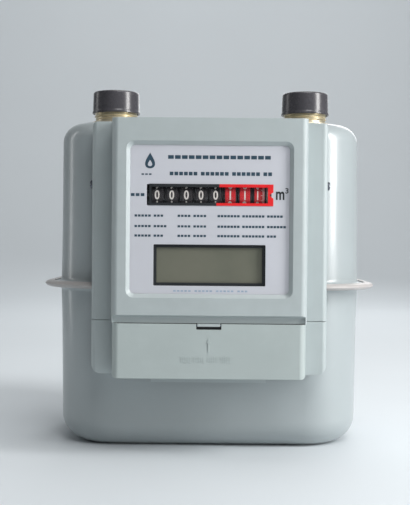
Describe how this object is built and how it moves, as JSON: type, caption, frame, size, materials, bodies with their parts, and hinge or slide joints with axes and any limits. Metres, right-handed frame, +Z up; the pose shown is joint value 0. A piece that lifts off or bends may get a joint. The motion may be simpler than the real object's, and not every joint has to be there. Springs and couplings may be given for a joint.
{
  "type": "gas meter",
  "caption": "Diaphragm gas meter: pressed steel case with rolled clamp band, two capped top unions and a front plastic unit with number wheels, display, card slot and hinged battery lid.",
  "frame": {"origin": "centre of the flat bottom of the lower case, under the line joining the two union axes", "axes": "+Z up along the unions, +X to the right as seen from the front, the display unit faces -Y"},
  "size_m": [0.217, 0.1735, 0.2324],
  "materials": {
    "case_paint": "semi-gloss grey paint with light orange peel",
    "housing_plastic": "fine-textured light grey plastic",
    "lid_plastic": "fine-textured light grey plastic",
    "union_zinc": "yellow-passivated zinc plating",
    "cap_plastic": "glossy black plastic",
    "gasket_rubber": "matt black rubber",
    "nameplate": "satin printed label stock",
    "window_clear": "clear polished",
    "lcd_glass": "grey-olive display glass",
    "bezel_black": "satin black",
    "index_black": "satin black with white digits",
    "index_red": "satin red with white digits",
    "gear_white": "natural acetal",
    "steel": "bright turned steel",
    "brass": "turned brass",
    "screw_steel": "zinc-plated screw",
    "measuring_plastic": "moulded phenolic",
    "diaphragm": "coated polyester diaphragm cloth",
    "board": "green circuit board",
    "cell": "satin blue sleeve, bright ends",
    "holder_black": "matt black plastic"
  },
  "bodies": {
    "case": {"upper_case": "case_paint", "lower_case": "case_paint", "clamp_band": "case_paint", "case_gasket": "gasket_rubber", "inlet_connector": "union_zinc", "outlet_connector": "union_zinc", "front_cover": "housing_plastic", "cover_base": "housing_plastic", "side_screw_left": "screw_steel", "side_screw_right": "screw_steel", "nameplate": "nameplate", "index_window": "window_clear", "lcd_bezel": "bezel_black", "lcd_glass": "lcd_glass", "main_board": "board", "card_reader": "holder_black", "battery_holder": "holder_black", "index_axle": "steel", "index_frame": "gear_white", "drive_bush": "brass", "valve_table": "measuring_plastic", "chamber_block": "measuring_plastic", "front_chamber_cover": "measuring_plastic", "rear_chamber_cover": "measuring_plastic", "front_diaphragm": "diaphragm", "rear_diaphragm": "diaphragm", "outlet_pipe": "steel", "shutoff_valve_body": "holder_black", "battery_cell_1": "cell", "battery_cell_2": "cell", "battery_cell_3": "cell", "battery_cell_4": "cell"},
    "inlet_cap_body": {"inlet_cap": "cap_plastic"},
    "outlet_cap_body": {"outlet_cap": "cap_plastic"},
    "lid": {"battery_lid": "lid_plastic"},
    "latch": {"lid_latch": "housing_plastic"},
    "plunger": {"shutoff_plunger": "gasket_rubber"},
    "crank_set": {"crank": "steel", "rotary_valve": "measuring_plastic"},
    "drive": {"drive_shaft": "steel", "drive_crown_gear": "gear_white", "change_gear_driver": "brass"},
    "input": {"index_input_shaft": "steel", "change_gear_driven": "brass"},
    "wheel_8": {"number_wheel_8": "index_red", "index_crown_gear": "gear_white"},
    "front_flag": {"front_flag_rod": "steel"},
    "rear_flag": {"rear_flag_rod": "steel"},
    "front_link_body": {"front_link": "steel"},
    "rear_link_body": {"rear_link": "steel"},
    "front_plate": {"front_diaphragm_plate": "steel"},
    "rear_plate": {"rear_diaphragm_plate": "steel"},
    "wheel_1": {"number_wheel_1": "index_black"},
    "wheel_2": {"number_wheel_2": "index_black"},
    "wheel_3": {"number_wheel_3": "index_black"},
    "wheel_4": {"number_wheel_4": "index_black"},
    "wheel_5": {"number_wheel_5": "index_black"},
    "wheel_6": {"number_wheel_6": "index_red"},
    "wheel_7": {"number_wheel_7": "index_red"}
  },
  "joints": [
    {"name": "inlet_cap_lift", "type": "slide", "parent": "case", "child": "inlet_cap_body", "axis": [0, 0, 1], "range_m": [0, 0.035]},
    {"name": "outlet_cap_lift", "type": "slide", "parent": "case", "child": "outlet_cap_body", "axis": [0, 0, 1], "range_m": [0, 0.035]},
    {"name": "lid_hinge", "type": "hinge", "parent": "case", "child": "lid", "pos_m": [0, -0.0765, 0.0521], "axis": [1, 0, 0], "range_deg": [0, 95]},
    {"name": "latch_press", "type": "slide", "parent": "case", "child": "latch", "axis": [0, 1, 0], "range_m": [0, 0.0015], "stiffness_N_per_m": 1500},
    {"name": "shutoff_plunger_slide", "type": "slide", "parent": "case", "child": "plunger", "axis": [0, 0, 1], "range_m": [0, 0.0075]},
    {"name": "crank_spin", "type": "hinge", "parent": "case", "child": "crank_set", "pos_m": [0.0397, -0.022, 0.1335], "axis": [0, 0, 1], "continuous": true},
    {"name": "drive_spin", "type": "hinge", "parent": "case", "child": "drive", "pos_m": [0.0397, -0.05, 0.1315], "axis": [0, 1, 0], "continuous": true},
    {"name": "input_spin", "type": "hinge", "parent": "case", "child": "input", "pos_m": [0.0397, -0.07, 0.1583], "axis": [0, 1, 0], "continuous": true},
    {"name": "wheel_8_spin", "type": "hinge", "parent": "case", "child": "wheel_8", "pos_m": [0, -0.0868, 0.1583], "axis": [1, 0, 0], "continuous": true},
    {"name": "wheel_7_spin", "type": "hinge", "parent": "case", "child": "wheel_7", "pos_m": [0, -0.0868, 0.1583], "axis": [1, 0, 0], "continuous": true},
    {"name": "wheel_6_spin", "type": "hinge", "parent": "case", "child": "wheel_6", "pos_m": [0, -0.0868, 0.1583], "axis": [1, 0, 0], "continuous": true},
    {"name": "wheel_5_spin", "type": "hinge", "parent": "case", "child": "wheel_5", "pos_m": [0, -0.0868, 0.1583], "axis": [1, 0, 0], "continuous": true},
    {"name": "wheel_4_spin", "type": "hinge", "parent": "case", "child": "wheel_4", "pos_m": [0, -0.0868, 0.1583], "axis": [1, 0, 0], "continuous": true},
    {"name": "wheel_3_spin", "type": "hinge", "parent": "case", "child": "wheel_3", "pos_m": [0, -0.0868, 0.1583], "axis": [1, 0, 0], "continuous": true},
    {"name": "wheel_2_spin", "type": "hinge", "parent": "case", "child": "wheel_2", "pos_m": [0, -0.0868, 0.1583], "axis": [1, 0, 0], "continuous": true},
    {"name": "wheel_1_spin", "type": "hinge", "parent": "case", "child": "wheel_1", "pos_m": [0, -0.0868, 0.1583], "axis": [1, 0, 0], "continuous": true},
    {"name": "front_flag_swing", "type": "hinge", "parent": "case", "child": "front_flag", "pos_m": [-0.056, -0.012, 0.1035], "axis": [0, 0, 1], "range_deg": [-13.5, 13.5]},
    {"name": "rear_flag_swing", "type": "hinge", "parent": "case", "child": "rear_flag", "pos_m": [0.016, 0.012, 0.1035], "axis": [0, 0, 1], "range_deg": [0, 26.7]},
    {"name": "front_diaphragm_slide", "type": "slide", "parent": "case", "child": "front_plate", "axis": [0, 1, 0], "range_m": [-0.0072, 0.0072], "deforming": ["front_diaphragm"]},
    {"name": "rear_diaphragm_slide", "type": "slide", "parent": "case", "child": "rear_plate", "axis": [0, 1, 0], "range_m": [-0.0142, 0], "deforming": ["rear_diaphragm"]},
    {"name": "front_link_swing", "type": "hinge", "parent": "front_flag", "child": "front_link_body", "pos_m": [-0.056, -0.042, 0.1515], "axis": [0, 0, 1], "range_deg": [-13.6, 13.6]},
    {"name": "rear_link_swing", "type": "hinge", "parent": "rear_flag", "child": "rear_link_body", "pos_m": [0.046, 0.014, 0.1535], "axis": [0, 0, 1], "range_deg": [-26.8, 0]}
  ],
  "couplings": [
    {"joint": "drive_spin", "follows": "crank_spin", "ratio": 0.3},
    {"joint": "input_spin", "follows": "crank_spin", "ratio": -0.3},
    {"joint": "wheel_8_spin", "follows": "crank_spin", "ratio": -0.12},
    {"joint": "wheel_7_spin", "follows": "crank_spin", "ratio": -0.012},
    {"joint": "wheel_6_spin", "follows": "crank_spin", "ratio": -0.0012},
    {"joint": "wheel_5_spin", "follows": "crank_spin", "ratio": -0.00012},
    {"joint": "wheel_4_spin", "follows": "crank_spin", "ratio": -0.000012},
    {"joint": "wheel_3_spin", "follows": "crank_spin", "ratio": -0.0000012},
    {"joint": "wheel_2_spin", "follows": "crank_spin", "ratio": -0.00000012},
    {"joint": "wheel_1_spin", "follows": "crank_spin", "ratio": -0.000000012},
    {"joint": "front_diaphragm_slide", "follows": "front_flag_swing", "m_per_rad": 0.0298},
    {"joint": "rear_diaphragm_slide", "follows": "rear_flag_swing", "m_per_rad": -0.03},
    {"joint": "front_link_swing", "follows": "front_flag_swing", "ratio": -1},
    {"joint": "rear_link_swing", "follows": "rear_flag_swing", "ratio": -1}
  ]
}
